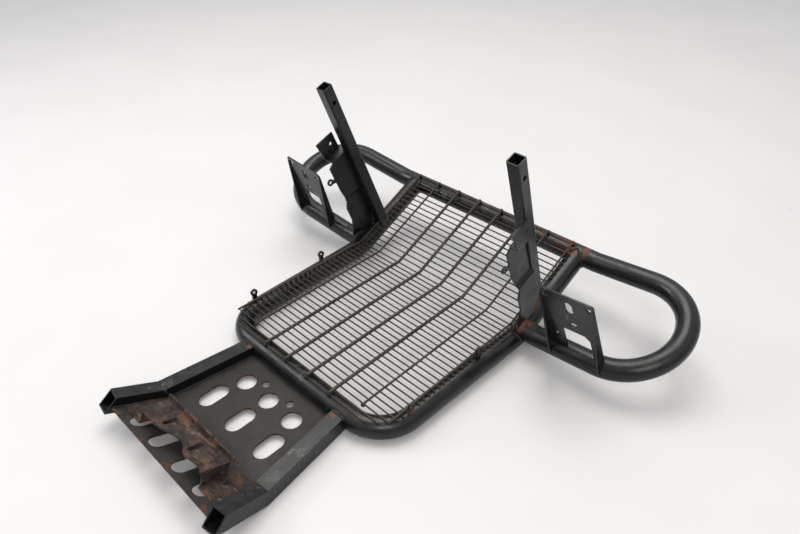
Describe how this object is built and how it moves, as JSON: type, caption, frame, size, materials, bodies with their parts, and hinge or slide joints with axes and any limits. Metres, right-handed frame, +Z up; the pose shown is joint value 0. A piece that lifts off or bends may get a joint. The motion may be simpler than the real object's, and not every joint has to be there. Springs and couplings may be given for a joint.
{
  "type": "front grille guard",
  "caption": "Front guard for a quad bike: round-tube frame with two ears, wire mesh grille, skid plate on two rails, uprights and lamp brackets.",
  "frame": {"origin": "middle of the bounding box on the floor plane, the guard lying on its front face as it was pictured", "axes": "+X from the left ear to the right ear, +Y from the open ends of the skid rails towards the long run of the upper loop, +Z up from the floor, along the uprights"},
  "size_m": [0.9482, 0.812, 0.4],
  "materials": {
    "frame_paint": "satin black powder coat, scuffed",
    "mesh_paint": "worn black with brown dust and light rust",
    "skid_paint": "dusty matt black, rusty round its holes",
    "rusty_steel": "paint lost to brown rust",
    "bracket_paint": "satin black paint"
  },
  "bodies": {
    "root": {"lower_frame_tube": "frame_paint", "upper_loop_tube": "frame_paint", "mesh_cross_wires": "mesh_paint", "mesh_long_rods_inner": "mesh_paint", "mesh_long_rods_outer": "mesh_paint", "skid_plate": "skid_paint", "skid_rail_left": "frame_paint", "skid_rail_right": "frame_paint", "lower_mount_bracket": "rusty_steel", "post_left": "bracket_paint", "post_right": "bracket_paint", "lamp_bracket_left": "bracket_paint", "lamp_bracket_right": "bracket_paint", "strip_bracket_left": "bracket_paint", "strip_bracket_right": "bracket_paint", "ring_tab_front_left": "bracket_paint", "ring_tab_front_right": "bracket_paint", "ring_tab_middle_left": "bracket_paint", "ring_tab_middle_right": "bracket_paint"}
  },
  "joints": []
}
